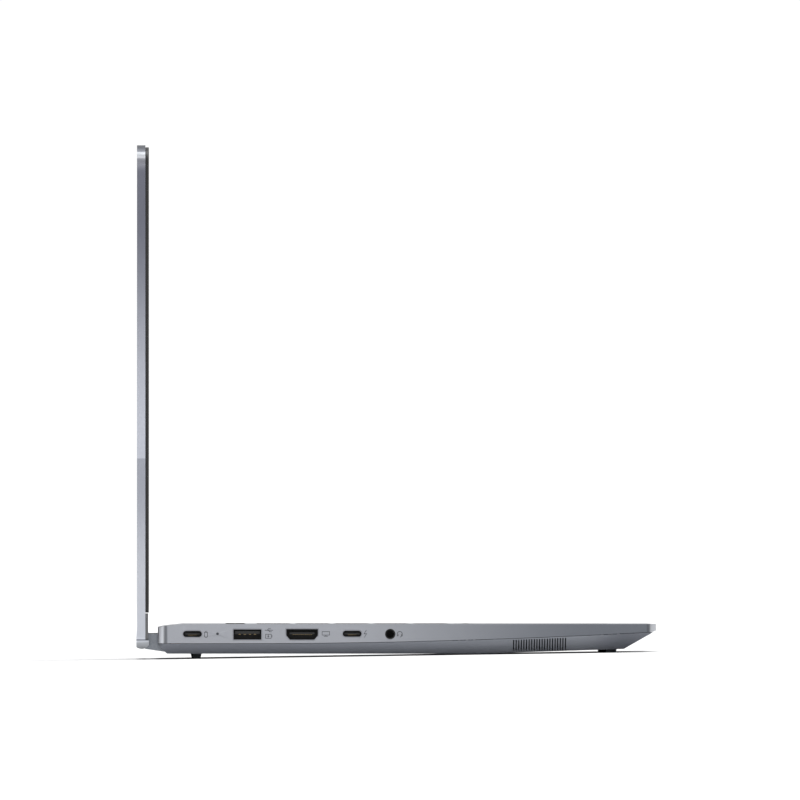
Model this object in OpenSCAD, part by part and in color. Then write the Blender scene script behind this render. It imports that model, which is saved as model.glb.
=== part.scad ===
// A 14 inch two-in-one laptop that stands open with its screen square to the keyboard deck.
// Base shapes are given as X across the width, u forward from the rear edge and w up from the deck.

/* [Base] */
// Width of the laptop
body_w = 313; // [305:1:330]
// Depth of the base from the rear edge to the front edge
base_d = 224.4; // [224:0.1:225]
// Depth of the base below the deck at the rear
base_h = 13.4; // [13.3:0.1:13.8]
// Wall thickness of the metal shells
wall = 1.2; // [1:0.1:1.4]
// Radius of the vertical corners of the base
corner_r = 5; // [4:0.5:6]
// How far the base leans down towards the front on its feet, in degrees
lean = 0.854; // [0.8:0.001:0.9]

/* [Lid] */
// Height of the screen lid above the deck when it stands upright
lid_top = 215.8; // [215.4:0.1:216.6]
// Radius of the two upper corners of the lid
lid_corner_r = 9; // [6:1:12]
// Visible width of the picture
picture_w = 301.6; // [296:0.1:302]
// Visible height of the picture
picture_h = 188.5; // [185:0.1:189]

/* [Hinge] */
// Height of the base hinge shaft, measured from the deck
shaft_w = -7.3; // [-7.35:0.01:-7.25]
// Distance between the two shafts of a hinge link
link_l = 10.885; // [10.87:0.005:10.95]
// Distance from the middle of the laptop to the middle of a hinge link
link_x = 126; // [118:1:128]
// Width of a hinge link
link_wide = 28.6; // [20:0.2:28.6]
// Radius of the hinge shafts
shaft_r = 1.2; // [1.1:0.05:1.25]
// Radial running clearance of the shafts in their barrels
shaft_fit = 0.04; // [0.02:0.01:0.06]

/* [Keys] */
// Distance between neighbouring keys in a row
key_pitch = 19.05; // [18.5:0.05:19.05]
// Gap between neighbouring key caps
key_gap = 3; // [2.6:0.2:3.4]
// Travel of a key
key_travel = 1.3; // [1:0.1:1.3]

/* [Hidden] */
$fn = 48;
past = 1;               // how far a cutting shape runs past a face
half_w = body_w / 2;

// Base outline
rear_split_w = -8.72;   // line between the top case and the bottom cover along the rear half
split_bend_u = 36.9;    // from here the line rises towards the front
split_rise = 1.498e-4;
split_steps = 14;
belly_end_u = 145;      // end of the flat part of the belly
ramp_end = [210, -11.25];
lip = [base_d, -2.95];  // top of the slanted front face
seam = 0.2;             // shadow gap between the two shells

// Where the base stands: the middle of the whole laptop is over the origin
stand_y = 107.225;
stand_z = 15.996;

// Hinge line, in the base's own u and w
base_shaft = [3.47, shaft_w];
lid_shaft = [base_shaft[0] - link_l, shaft_w];
link_x0 = link_x - link_wide / 2;
link_x1 = link_x + link_wide / 2;
notch_gap = 0.4;        // side gap between a link and its notches
barrel_l = 5.8;
shaft_end = notch_gap + 0.8 + barrel_l;
base_barrel_r = 2.2;
lid_barrel_r = 1.75;
lid_notch_w = -2.6;     // top of the notches in the lid

// Lid layers, as u
lid_back = -9.5;
lid_edge = -5.7;        // front of the metal shell
rim_face = -4.13;       // front of the black rim
lid_end_r = 3.96;       // round hinge end of the lid
glass_low = 5.1;
glass_high = 214.9;
lid_wall = 0.8;

// Keyboard, as u
key_row_u = [35.2, 52.4, 70.3, 88.2, 106.1, 124.0];
key_deep = 15.2;
function_deep = 8.4;
key_left = -7.5 * key_pitch;
cap_t = 2.1;
cap_r = 1.6;
hole_gap = 0.35;
function_raise = 0.12;
stem_r = 1.2;
stem_fit = 0.15;
plate_w = [-4.9, -3.9];
touch_u = [143.6, 204.2];
touch_w = 114;
touch_r = 2.2;
click_u = [134.9, 142.9];

function split_w(u) = rear_split_w + (u < split_bend_u ? 0 : split_rise * pow(u - split_bend_u, 2));
cover_end_u = base_d - 1.5;
split_us = [for (i = [0 : split_steps]) split_bend_u + i * (cover_end_u - split_bend_u) / split_steps];

// Places its children, given in X, -u and w, on the feet
module in_base() {
    translate([0, stand_y, stand_z]) rotate([lean, 0, 0]) children();
}

// A block between limits
module block(x, u, w) {
    translate([x[0], -u[1], w[0]]) cube([x[1] - x[0], u[1] - u[0], w[1] - w[0]]);
}

// A flat shape in -u and w, carried across the width
module across(x) {
    translate([x[0], 0, 0]) rotate([90, 0, 90]) linear_extrude(x[1] - x[0]) children();
}

// A side outline given as points [u, w], carried across the width
module side_prism(points, x) {
    across(x) polygon([for (p = points) [-p[0], p[1]]]);
}

// A round bar across the width
module bar(r, x, centre) {
    translate([x[0], -centre[0], centre[1]]) rotate([0, 90, 0]) cylinder(r = r, h = x[1] - x[0]);
}

// A rectangle with rounded corners, with one radius at its low end and one at its high end
module rounded(x, y, low_r, high_r) {
    for (e = [[low_r, y[0] + low_r], [high_r, y[1] - high_r]]) {
        for (cx = [x[0] + e[0], x[1] - e[0]]) translate([cx, e[1]]) circle(e[0]);
    }
    translate([x[0], y[0] + low_r]) square([x[1] - x[0], y[1] - y[0] - low_r - high_r]);
    translate([x[0] + low_r, y[0]]) square([x[1] - x[0] - 2 * low_r, low_r]);
    translate([x[0] + high_r, y[1] - high_r]) square([x[1] - x[0] - 2 * high_r, high_r]);
}

// A rounded slab lying in the base
module slab(x, u, w, r) {
    translate([0, 0, w[0]]) linear_extrude(w[1] - w[0]) rounded(x, [-u[1], -u[0]], r, r);
}

// A rounded panel standing in the lid, from the u of its back to the u of its front
module panel(x, u, w, low_r, high_r) {
    translate([0, -u[0], 0]) rotate([90, 0, 0]) linear_extrude(u[1] - u[0]) rounded(x, w, low_r, high_r);
}

// The same piece on the left and on the right
module both_sides() {
    children();
    mirror([1, 0, 0]) children();
}

// ---- shells of the base ----

// Everything below the slanted flanks of the belly, sunk into the metal by t
module flank_cut(t) {
    slope = sqrt(0.5);
    low = -40;
    both_sides() translate([half_w, 0, 0]) rotate([0, -45, 0]) across([-60, 60])
        polygon([[past, slope * rear_split_w + t], [past, low], [-base_d - past, low],
            for (i = [split_steps : -1 : 0]) [-split_us[i], slope * split_w(split_us[i]) + t]]);
}

// Top of the slanted front wall of the cover
function front_end(t) = let (u = cover_end_u - t, rise = (lip[1] - ramp_end[1]) / (lip[0] - ramp_end[0]))
    [u, ramp_end[1] + rise * (u - ramp_end[0]) + t];

function belly_points(t) = [[0.05 + t, rear_split_w - seam], [0.9 + t, -10.4 + t / 2],
    [3.2 + t / 2, -12.6 + t], [4.05 + t / 2, t - base_h], [belly_end_u, t - base_h],
    [ramp_end[0], ramp_end[1] + t], front_end(t)];

// The belly of the base: the full body when t is 0, the room inside the cover when t is the wall
module belly(t) {
    top = t > 0 ? past : 0;
    difference() {
        intersection() {
            side_prism(concat(belly_points(t), [for (i = [split_steps : -1 : 0])
                [split_us[i], split_w(split_us[i]) - seam + top]], [[t + 0.05, rear_split_w - seam + top]]),
                [-half_w - past, half_w + past]);
            slab([t - half_w, half_w - t], [t, base_d - t], [-20, 5], corner_r - t / 2);
        }
        flank_cut(t);
    }
}

module link_notches() {
    both_sides() side_prism([[-past, past], [6.9, past], [6.9, -5.4], [9.2, -5.4], [9.2, -20], [-past, -20]],
        [link_x0 - notch_gap, link_x1 + notch_gap]);
}

// Walls that close the shells around the two hinge notches
module notch_walls(w) {
    both_sides() block([link_x0 - notch_gap - 0.8, link_x1 + notch_gap + 0.8], [0.6, 10.2], w);
}

slot_pitch = 1.17;
slot_count = 21;
slot_u = 160.2;
slot_wide = 0.52;
slot_low_w = -12.2;

// Slots that let the sound out through the flanks
module sound_slots() {
    for (i = [0 : slot_count - 1]) {
        u = slot_u + i * slot_pitch;
        depth = sqrt(0.5) * split_w(u);
        low = sqrt(2) * slot_low_w - depth;
        high = sqrt(2) * (split_w(u) - 0.75) - depth;
        both_sides() translate([half_w, -u - slot_wide / 2, 0]) rotate([0, -45, 0])
            translate([low, 0, depth - 0.5]) cube([high - low, slot_wide, 2.4]);
    }
}

// ---- keyboard layout, in key widths from the left end of a row ----

function run(start, count, size) = [for (i = [0 : count - 1]) [start + i * size, size]];
function key_x(key) = [key_left + key[0] * key_pitch + key_gap / 2,
    key_left + (key[0] + key[1]) * key_pitch - key_gap / 2];
function key_u(row) = row == 0 ? [key_row_u[0] - function_deep / 2, key_row_u[0] + function_deep / 2]
    : [key_row_u[row] - key_deep / 2, key_row_u[row] + key_deep / 2];
function rear_half(u) = [u[0], (u[0] + u[1]) / 2 - 0.5];
function front_half(u) = [(u[0] + u[1]) / 2 + 0.5, u[1]];

function_run = run(0, 16, 15 / 16);
number_run = run(0, 13, 1);
backspace = [13, 2];
tab = [0, 1.5];
upper_run = concat(run(1.5, 12, 1), [[13.5, 1.5]]);
caps = [0, 1.75];
home_run = run(1.75, 11, 1);
enter = [12.75, 2.25];
left_shift = [0, 2.25];
lower_run = run(2.25, 10, 1);
right_shift = [12.25, 2.75];
modifier_run = concat(run(0, 4, 1), run(9, 3, 1));
space = [4, 5];
left_arrow = [12, 1];
middle_arrow = [13, 1];
right_arrow = [14, 1];
last_row = key_u(5);

// Every key as [key, u, height of its top]
all_keys = concat(
    [for (k = function_run) [k, key_u(0), function_raise]],
    [for (k = concat(number_run, [backspace])) [k, key_u(1), 0]],
    [for (k = concat([tab], upper_run)) [k, key_u(2), 0]],
    [for (k = concat([caps], home_run, [enter])) [k, key_u(3), 0]],
    [for (k = concat([left_shift], lower_run, [right_shift])) [k, key_u(4), 0]],
    [for (k = concat(modifier_run, [space])) [k, last_row, 0]],
    [for (k = [left_arrow, middle_arrow, right_arrow]) [k, front_half(last_row), 0]],
    [[middle_arrow, rear_half(last_row), 0]]);

// Where the stems of a key stand: one, or two under a wide key
function stem_xs(key) = let (x = key_x(key), middle = (x[0] + x[1]) / 2, span = (x[1] - x[0]) / 4)
    key[1] < 2 ? [middle] : [middle - span, middle + span];

// One key: a cap with rounded corners on its guide stem
module keycap(key, u, top = 0) {
    slab(key_x(key), u, [top - cap_t, top], cap_r);
    for (x = stem_xs(key)) translate([x, -(u[0] + u[1]) / 2, plate_w[0] + 0.3])
        cylinder(r = stem_r, h = top - cap_t - plate_w[0] - 0.3);
}

module key_row(keys, row) {
    color("#2b2d33") in_base() for (k = keys) keycap(k, key_u(row), row == 0 ? function_raise : 0);
}

module one_key(key, u) {
    color("#2b2d33") in_base() keycap(key, u);
}

touch_x = key_left + 6.5 * key_pitch;
click_w = touch_w / 3;
function click_x(i) = [touch_x - touch_w / 2 + i * click_w + 0.2, touch_x - touch_w / 2 + (i + 1) * click_w - 0.2];

// ---- connectors, each as [u, w, wide, high] of the outside of its shell ----

charge_at = [15.5, -4.5, 9, 3.3];
data_at = [87.45, -4.4, 9, 3.3];
wide_at = [40.25, -4.75, 13.2, 5.2];
video_at = [64.9, -4.7, 14.9, 5.4];
jack_at = [104.6, -4.53];
jack_r = 2.28;
jack_bore_r = 1.8;
jack_l = 11;
light_at = [26.8, -4.44];
port_depth = 11.6;
port_gap = 0.06;
power_at = [100, -4.3, 12, 2.8];
lock_at = [118, -4.6, 6.9, 3];
card_at = [74, -4.4, 15.4, 1.3];

// Where the outer face of a connector on the left wall lies
mouth_x = -half_w + 0.15;

// The outline of a connector in -u and w, grown by g on every side
module port_outline(at, g, r) {
    x = [-at[0] - at[2] / 2 - g, -at[0] + at[2] / 2 + g];
    y = [at[1] - at[3] / 2 - g, at[1] + at[3] / 2 + g];
    rounded(x, y, r + g, r + g);
}

// The same with the two lower corners cut off at a slant
module slant_outline(at, g) {
    wide = at[2] / 2 + g;
    high = at[3] / 2 + g;
    translate([-at[0], at[1]]) polygon([[-wide, high], [wide, high], [wide, -high / 5],
        [wide - high * 0.7, -high], [high * 0.7 - wide, -high], [-wide, -high / 5]]);
}

// A drawn metal shell, closed at the back, with a contact tongue inside
module port_shell(at, depth, t, r, tongue_w, tongue_t, tongue_up = 0) {
    difference() {
        across([mouth_x, mouth_x + depth]) port_outline(at, 0, r);
        across([mouth_x - past, mouth_x + depth - 1]) port_outline(at, -t, r);
    }
    block([mouth_x + 1, mouth_x + depth - 0.5], [at[0] - tongue_w / 2, at[0] + tongue_w / 2],
        [at[1] + tongue_up - tongue_t / 2, at[1] + tongue_up + tongue_t / 2]);
}

// ---- screws ----

boss_r = 2.3;
screw_r = 1;
head_r = 2;
head_h = 0.8;
screw_l = 6;
screw_spots = [[-98, 25], [0, 25], [98, 25], [-138, 141], [138, 141], [-138, 206], [138, 206]];
function belly_w(u) = u < belly_end_u ? -base_h
    : -base_h + (u - belly_end_u) * (ramp_end[1] + base_h) / (ramp_end[0] - belly_end_u);

// ---- pieces of the base ----

vent_x = [34, 88];
vent_pitch = 3.6;
fan_x = 66;
fan_u = 44;
fan_r = 21;
deck_t = 1.3;
side_wall = 1.4;

module top_case() {
    color("#9a9ca3") in_base() {
        difference() {
            union() {
                difference() {
                    intersection() {
                        side_prism(concat([[0, rear_split_w], [0, -1.75], [0.2, -1.55], [3.2, -0.9], [11.3, 0],
                            [base_d, 0], lip], [for (i = [split_steps : -1 : 0])
                            [split_us[i], split_w(split_us[i])]]), [-half_w - past, half_w + past]);
                        slab([-half_w, half_w], [0, base_d], [-20, 5], corner_r);
                    }
                    intersection() {
                        side_prism([[1, -20], [1, -3], [12.6, -deck_t], [base_d - 1.6, -deck_t],
                            [base_d - 1.6, -20]], [-half_w, half_w]);
                        slab([side_wall - half_w, half_w - side_wall], [1, base_d - 1.6], [-21, 5],
                            corner_r - side_wall);
                    }
                }
                notch_walls([rear_split_w, -0.9 - deck_t]);
                for (s = screw_spots) translate([s[0], -s[1], belly_w(s[1]) + wall + 0.1])
                    cylinder(r = boss_r, h = -deck_t - belly_w(s[1]) - wall);
            }
            link_notches();
            both_sides() bar(shaft_r + 0.35, [link_x0 - 3, link_x1 + 3], base_shaft);
            for (k = all_keys) slab(key_x(k[0]) + [-hole_gap, hole_gap], k[1] + [-hole_gap, hole_gap],
                [-deck_t - past, past], cap_r + hole_gap);
            slab([touch_x - touch_w / 2 - hole_gap, touch_x + touch_w / 2 + hole_gap],
                [click_u[0] - hole_gap, touch_u[1] + hole_gap], [-deck_t - past, past], touch_r + hole_gap);
            across([-half_w - past, side_wall + 0.2 - half_w]) {
                for (at = [charge_at, data_at]) port_outline(at, port_gap, 1.6);
                port_outline(wide_at, port_gap, 0.4);
                slant_outline(video_at, port_gap);
                translate([-jack_at[0], jack_at[1]]) circle(jack_r + port_gap);
                translate([-light_at[0], light_at[1]]) circle(0.65);
            }
            across([half_w - side_wall - 0.2, half_w + past]) {
                port_outline(wide_at, port_gap, 0.4);
                port_outline(power_at, 0.25, 1.3);
                port_outline(lock_at, 0, 0.5);
                port_outline(card_at, 0, 0.3);
            }
            for (x = [vent_x[0] : vent_pitch : vent_x[1]]) block([x, x + 2], [-past, 2], [-7.4, -3.4]);
            for (s = screw_spots) translate([s[0], -s[1], belly_w(s[1])]) cylinder(r = screw_r - 0.1, h = 8);
        }
    }
}

rear_foot_at = [17.3, 4.9, 3.1, 120];
front_foot_at = [204.5, 5.1, 3.15, 126];
foot_sunk = 0.5;

// The groove that holds a foot, or the foot's own upper part when g is 0
module foot_root(at, g) {
    w = belly_w(at[0]);
    block([-at[3] - g, at[3] + g], [at[0] - at[1] / 2 - g, at[0] + at[1] / 2 + g], [w - past, w + foot_sunk]);
}

module foot(at) {
    w = belly_w(at[0]);
    color("#41444f") intersection() {
        in_base() {
            intersection() {
                foot_root(at, 0);
                block([-half_w, half_w], [0, base_d], [w, 0]);
            }
            side_prism([[at[0] - at[1] / 2, w + 0.1], [at[0] - at[2] / 2, -17], [at[0] + at[2] / 2, -17],
                [at[0] + at[1] / 2, w + 0.1]], [-at[3], at[3]]);
        }
        translate([-half_w, -base_d, 0]) cube([body_w, 2 * base_d, base_h]);
    }
}

module bottom_cover() {
    color("#62656c") in_base() difference() {
        union() {
            difference() {
                belly(0);
                belly(wall);
            }
            both_sides() block([link_x0 - notch_gap - 0.8, link_x1 + notch_gap + 0.8], [4, 10.2],
                [-base_h + 0.5, rear_split_w - seam]);
        }
        link_notches();
        sound_slots();
        foot_root(rear_foot_at, 0.05);
        foot_root(front_foot_at, 0.05);
        for (s = screw_spots) translate([s[0], -s[1], belly_w(s[1]) - past]) {
            cylinder(r = screw_r + 0.15, h = 4);
            cylinder(r = head_r + 0.2, h = past + 0.85);
        }
        for (x = [fan_x - 18 : 3.6 : fan_x + 18]) slab([x - 0.8, x + 0.8], [fan_u - 13, fan_u + 13],
            [-base_h - past, -base_h + 2], 0.7);
    }
}

module bottom_screws() {
    color("#3a3c40") in_base() for (s = screw_spots) translate([s[0], -s[1], belly_w(s[1])]) {
        difference() {
            translate([0, 0, 0.1]) cylinder(r = head_r, h = head_h - 0.05);
            cylinder(r = 0.8, h = 0.55, $fn = 6);
        }
        translate([0, 0, head_h]) cylinder(r = screw_r - 0.1, h = screw_l - head_h);
    }
}

module rear_foot() {
    foot(rear_foot_at);
}

module front_foot() {
    foot(front_foot_at);
}

tray_x = 144.2;
tray_u = [29.6, 133];

module keyboard_plate() {
    color("#1d1e21") in_base() difference() {
        slab([-tray_x, tray_x], tray_u, [plate_w[0], -deck_t - 0.05], 2);
        slab([1 - tray_x, tray_x - 1], tray_u + [1, -1], [plate_w[1], past], 1);
        for (k = all_keys) for (x = stem_xs(k[0])) translate([x, -(k[1][0] + k[1][1]) / 2, plate_w[0] - past])
            cylinder(r = stem_r + stem_fit, h = 3);
    }
}

board_w = [-9.6, -8.6];

module motherboard() {
    color("#1f3d33") in_base() {
        difference() {
            slab([-142, 30], [12, 94], board_w, 2);
            for (s = screw_spots) translate([s[0], -s[1], -12]) cylinder(r = boss_r + 0.5, h = 8);
        }
        // Processor, memory chips and a row of connectors
        for (c = [[-24, 4, 40, 60, 0.8], [-60, -46, 34, 46, 0.9], [-60, -46, 52, 64, 0.9], [-96, -82, 70, 84, 1.1],
            [-40, -10, 84, 90, 1.6], [8, 24, 70, 84, 1.2]])
            block([c[0], c[1]], [c[2], c[3]], [board_w[1], board_w[1] + c[4]]);
    }
}

module battery() {
    color("#202226") in_base() {
        slab([-118, 118], [136.5, 202], [-9.6, -5.2], 2);
        block([-14, 14], [134, 136.6], [-9.2, -7.2]);
    }
}

fan_w = [-11.9, -6.3];

module fan_housing() {
    color("#2a2c30") in_base() translate([fan_x, -fan_u, 0]) {
        difference() {
            union() {
                translate([0, 0, fan_w[0]]) cylinder(r = fan_r + 2, h = fan_w[1] - fan_w[0]);
                translate([-fan_r - 2, 0, fan_w[0]]) cube([2 * fan_r + 4, 30, fan_w[1] - fan_w[0]]);
            }
            translate([0, 0, fan_w[0] + 0.6]) {
                cylinder(r = fan_r + 1, h = fan_w[1] - fan_w[0] - 1.2);
                translate([-fan_r - 1, 0, 0]) cube([2 * fan_r + 2, 31, fan_w[1] - fan_w[0] - 1.2]);
            }
            translate([0, 0, fan_w[0] + 2]) cylinder(r = 14, h = 6);
            for (a = [0 : 90 : 270]) rotate([0, 0, a + 45]) translate([11, 0, fan_w[0] - past]) cylinder(r = 5, h = 3);
        }
        translate([0, 0, fan_w[0] + 0.3]) cylinder(r = 1, h = 4.6);
    }
}

fan_blades = 19;

module fan_rotor() {
    color("#17181b") in_base() translate([fan_x, -fan_u, fan_w[0] + 1]) difference() {
        union() {
            cylinder(r = 8.5, h = 3.6);
            for (i = [0 : fan_blades - 1]) rotate([0, 0, i * 360 / fan_blades]) translate([7.5, 0, 0])
                rotate([0, 0, 24]) translate([0, -0.25, 0.2]) cube([12.2, 0.5, 3.2]);
        }
        translate([0, 0, -past]) cylinder(r = 1.05, h = 6);
    }
}

module heat_pipe() {
    color("#b0653a") in_base() {
        slab([-26, 6], [38, 62], [-7.75, -7.1], 1);
        block([-10, 34], [46.5, 53.5], [-7.05, -6.2]);
        block([27, 34], [9, 53.5], [-7.05, -6.2]);
        block([27, 86], [5, 9], [-7.05, -6.2]);
    }
}

sink_x = [42, 90];
sink_u = [4.6, 10.5];
fin_pitch = 1.6;
fin_t = 0.3;

module heat_sink() {
    color("#a9663f") in_base() {
        block([sink_x[0], sink_x[1] + fin_t], sink_u, [-7.75, -7.15]);
        for (x = [sink_x[0] : fin_pitch : sink_x[1]]) block([x, x + fin_t], sink_u, [-11.4, -7.6]);
    }
}

module ssd_card() {
    color("#243b2f") in_base() {
        slab([-90, -10], [98, 120], [-10.3, -9.5], 1);
        for (x = [-80, -58, -36]) block([x, x + 16], [101, 117], [-9.5, -8.3]);
    }
}

module speaker() {
    color("#18191b") in_base() difference() {
        slab([124, 148], [152, 192], [-8.6, -3.4], 2);
        block([146, 149], [158, 186], [-8, -5.5]);
    }
}

module right_speaker() {
    speaker();
}

module left_speaker() {
    mirror([1, 0, 0]) speaker();
}

module charge_port() {
    color("#6f7276") in_base() port_shell(charge_at, 7.4, 0.28, 1.6, 6.7, 0.7);
}

module data_port() {
    color("#6f7276") in_base() port_shell(data_at, 7.4, 0.28, 1.6, 6.7, 0.7);
}

module left_wide_port() {
    color("#6f7276") in_base() port_shell(wide_at, port_depth, 0.3, 0.4, 11.2, 1.3, 0.95);
}

module right_wide_port() {
    color("#6f7276") in_base() mirror([1, 0, 0]) port_shell(wide_at, port_depth, 0.3, 0.4, 11.2, 1.3, 0.95);
}

module video_port() {
    color("#6f7276") in_base() {
        difference() {
            across([mouth_x, mouth_x + port_depth]) slant_outline(video_at, 0);
            across([mouth_x - past, mouth_x + port_depth - 1]) slant_outline(video_at, -0.3);
        }
        block([mouth_x + 1, mouth_x + port_depth - 0.5], [video_at[0] - 5.6, video_at[0] + 5.6],
            [video_at[1] + 0.1, video_at[1] + 0.9]);
    }
}

module audio_jack() {
    color("#151619") in_base() difference() {
        union() {
            bar(jack_r, [mouth_x, mouth_x + 3], jack_at);
            block([mouth_x + 1.6, mouth_x + jack_l + 1], [jack_at[0] - 3, jack_at[0] + 3],
                [jack_at[1] - 2.5, jack_at[1] + 2.5]);
        }
        bar(jack_bore_r, [mouth_x - past, mouth_x + jack_l], jack_at);
    }
}

module charge_light() {
    color("#e8ece8") in_base() bar(0.6, [-half_w + 0.1, -half_w + 3], light_at);
}

// Bracket that carries the base end of one hinge link
module base_bracket() {
    color("#77797e") in_base() {
        for (x = [link_x0 - shaft_end, link_x1 + notch_gap + 0.85]) {
            difference() {
                union() {
                    bar(base_barrel_r, [x, x + barrel_l - 0.1], base_shaft);
                    side_prism([[base_shaft[0], shaft_w + 1], [base_shaft[0], shaft_w + base_barrel_r],
                        [9.2, -3.3], [14, -3.3], [14, -4.4], [9.5, -4.4], [5.2, shaft_w - 1.2]],
                        [x, x + barrel_l - 0.1]);
                }
                bar(shaft_r + shaft_fit, [x - past, x + barrel_l + past], base_shaft);
            }
        }
        block([link_x0 - shaft_end, link_x1 + shaft_end], [11, 27], [-4.4, -3.3]);
    }
}

module right_base_bracket() {
    base_bracket();
}

module left_base_bracket() {
    mirror([1, 0, 0]) base_bracket();
}

module touchpad() {
    color("#5d6068") in_base() slab([touch_x - touch_w / 2, touch_x + touch_w / 2], touch_u, [-1.75, -0.05], touch_r);
}

module click_button(i) {
    color("#33353c") in_base() {
        intersection() {
            slab(click_x(i), click_u + [0, -0.35], [-2.1, -0.05], 0.8);
            slab([touch_x - touch_w / 2, touch_x + touch_w / 2], [click_u[0], touch_u[1]], [-3, 0], touch_r);
        }
        slab(click_x(i) + [4, -4], [139.1, 140.7], [-1, 0.13], 0.7);
    }
}

module left_click_button() {
    click_button(0);
}

module middle_click_button() {
    click_button(1);
}

module right_click_button() {
    click_button(2);
}

module power_button() {
    color("#8f9299") in_base() {
        across([half_w - 2.2, half_w - 0.1]) port_outline(power_at, 0, 1.3);
        across([half_w - 2.4, half_w - 1.8]) port_outline(power_at, 1, 1.3);
    }
}

// ---- keys ----

module function_keys() {
    key_row(function_run, 0);
}

module number_keys() {
    key_row(number_run, 1);
}

module upper_letter_keys() {
    key_row(upper_run, 2);
}

module home_letter_keys() {
    key_row(home_run, 3);
}

module lower_letter_keys() {
    key_row(lower_run, 4);
}

module modifier_keys() {
    key_row(modifier_run, 5);
}

module backspace_key() {
    one_key(backspace, key_u(1));
}

module tab_key() {
    one_key(tab, key_u(2));
}

module caps_key() {
    one_key(caps, key_u(3));
}

module enter_key() {
    one_key(enter, key_u(3));
}

module left_shift_key() {
    one_key(left_shift, key_u(4));
}

module right_shift_key() {
    one_key(right_shift, key_u(4));
}

module space_bar() {
    one_key(space, last_row);
}

module left_arrow_key() {
    one_key(left_arrow, front_half(last_row));
}

module up_arrow_key() {
    one_key(middle_arrow, rear_half(last_row));
}

module down_arrow_key() {
    one_key(middle_arrow, front_half(last_row));
}

module right_arrow_key() {
    one_key(right_arrow, front_half(last_row));
}

// ---- hinge links, drawn with the lid upright ----

module hinge_link() {
    color("#7c828e") in_base() difference() {
        side_prism([[-9.45, -6], [-7.7, -4.5], [3.9, -4.35], [5.9, -5.6], [6.3, -7.3], [5.6, -9.6], [4.4, -11.6],
            [3.2, -12.6], [-5.6, -11.3], [-8.6, -9.8], [-9.45, -8.4]], [link_x0, link_x1]);
        for (at = [base_shaft, lid_shaft]) bar(shaft_r + 0.01, [link_x0 - past, link_x1 + past], at);
    }
}

module right_hinge_link() {
    hinge_link();
}

module left_hinge_link() {
    mirror([1, 0, 0]) hinge_link();
}

module hinge_shafts() {
    color("#c4c6ca") in_base() both_sides() for (at = [base_shaft, lid_shaft])
        bar(shaft_r, [link_x0 - shaft_end, link_x1 + shaft_end], at);
}

// ---- lid, drawn upright ----

lid_bulge = 0.3;
lid_bar_w = 0.6;        // top of the solid bar along the hinge end
lid_side = 1.6;
rim_inset = 0.9;
rim_wide = 1.5;
strip_face = -4.44;
strip_w = [-7.1, 4.5];
rim_low = [rim_inset - half_w, half_w - rim_inset];

// Side outline of the metal shell of the lid, with its round hinge end
module lid_outline() {
    intersection() {
        polygon([[-lid_edge, lid_top], [-lid_back, lid_top], [-lid_back, -1], [lid_bulge - lid_back, -6],
            [lid_bulge - lid_back, -base_h], [-rim_face, -base_h], [-rim_face, strip_w[0] - 0.1],
            [-lid_edge, strip_w[0] - 0.1]]);
        union() {
            translate([-lid_shaft[0], lid_shaft[1]]) circle(lid_end_r, $fn = 96);
            translate([0, shaft_w]) square([2 * -lid_back, lid_top - shaft_w + past]);
        }
    }
}

module lid_notches() {
    both_sides() block([link_x0 - notch_gap, link_x1 + notch_gap], [lid_back - 2, 0], [-base_h, lid_notch_w]);
}

module lid_cover() {
    color("#a4a7ae") in_base() difference() {
        intersection() {
            across([-half_w, half_w]) lid_outline();
            panel([-half_w, half_w], [lid_back - 2, 0], [shaft_w - lid_end_r, lid_top], 5, lid_corner_r);
        }
        panel([lid_side - half_w, half_w - lid_side], [lid_back + lid_wall, 0], [lid_bar_w, lid_top - lid_side],
            2, lid_corner_r - lid_side);
        lid_notches();
        both_sides() for (x = [link_x0 - shaft_end - 0.1, link_x1 + notch_gap + 0.75]) {
            bar(lid_barrel_r + 0.1, [x, x + barrel_l + 0.1], lid_shaft);
            block([x, x + barrel_l + 0.1], [-8.9, -7.1], [shaft_w, lid_bar_w + 0.5]);
        }
        both_sides() bar(shaft_r + 0.35, [link_x0 - 2, link_x1 + 2], lid_shaft);
    }
}

knob_x = [-7, -1];
shutter_travel = 3;
camera_w = [208.7, 213.7];

module screen_rim() {
    color("#141416") in_base() difference() {
        panel(rim_low, [lid_edge + 0.03, rim_face], [glass_low, glass_high], 1.5, lid_corner_r - rim_inset);
        panel(rim_low + [rim_wide, -rim_wide], [lid_edge - past, 0], [glass_low + rim_wide, glass_high - rim_wide],
            0.6, lid_corner_r - rim_inset - rim_wide);
        block([knob_x[0] - 0.2, knob_x[1] + shutter_travel + 0.2], [lid_edge - past, 0], [213.2, 214.4]);
    }
}

module display_glass() {
    color("#08090b") in_base() panel(rim_low + [rim_wide + 0.1, -rim_wide - 0.1], [-5.25, rim_face - 0.5],
        [glass_low + rim_wide + 0.1, glass_high - rim_wide - 0.1], 0.5, lid_corner_r - rim_inset - rim_wide);
}

picture_low = 18.4;

module display_panel() {
    color("#1a1b1e") in_base() {
        panel([-picture_w / 2 - 1.7, picture_w / 2 + 1.7], [-7.6, -5.8], [12, picture_low + picture_h + 1.1], 1, 1);
        panel([-picture_w / 2, picture_w / 2], [-5.8, -5.35], [picture_low, picture_low + picture_h], 0.5, 0.5);
    }
}

module hinge_strip() {
    color("#6a6b6f") in_base() difference() {
        panel([0.6 - half_w, half_w - 0.6], [lid_edge + 0.03, strip_face], strip_w, 0.5, 0.5);
        lid_notches();
    }
}

module camera_module() {
    color("#101113") in_base() difference() {
        union() {
            panel([-30, 30], [-8.4, -7.2], camera_w, 1, 1);
            panel([-4, 4], [-7.2, -6.4], camera_w + [0.4, -0.4], 0.8, 0.8);
        }
        translate([0, 6.8, (camera_w[0] + camera_w[1]) / 2]) rotate([90, 0, 0]) cylinder(r = 1.1, h = 2);
    }
}

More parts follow.
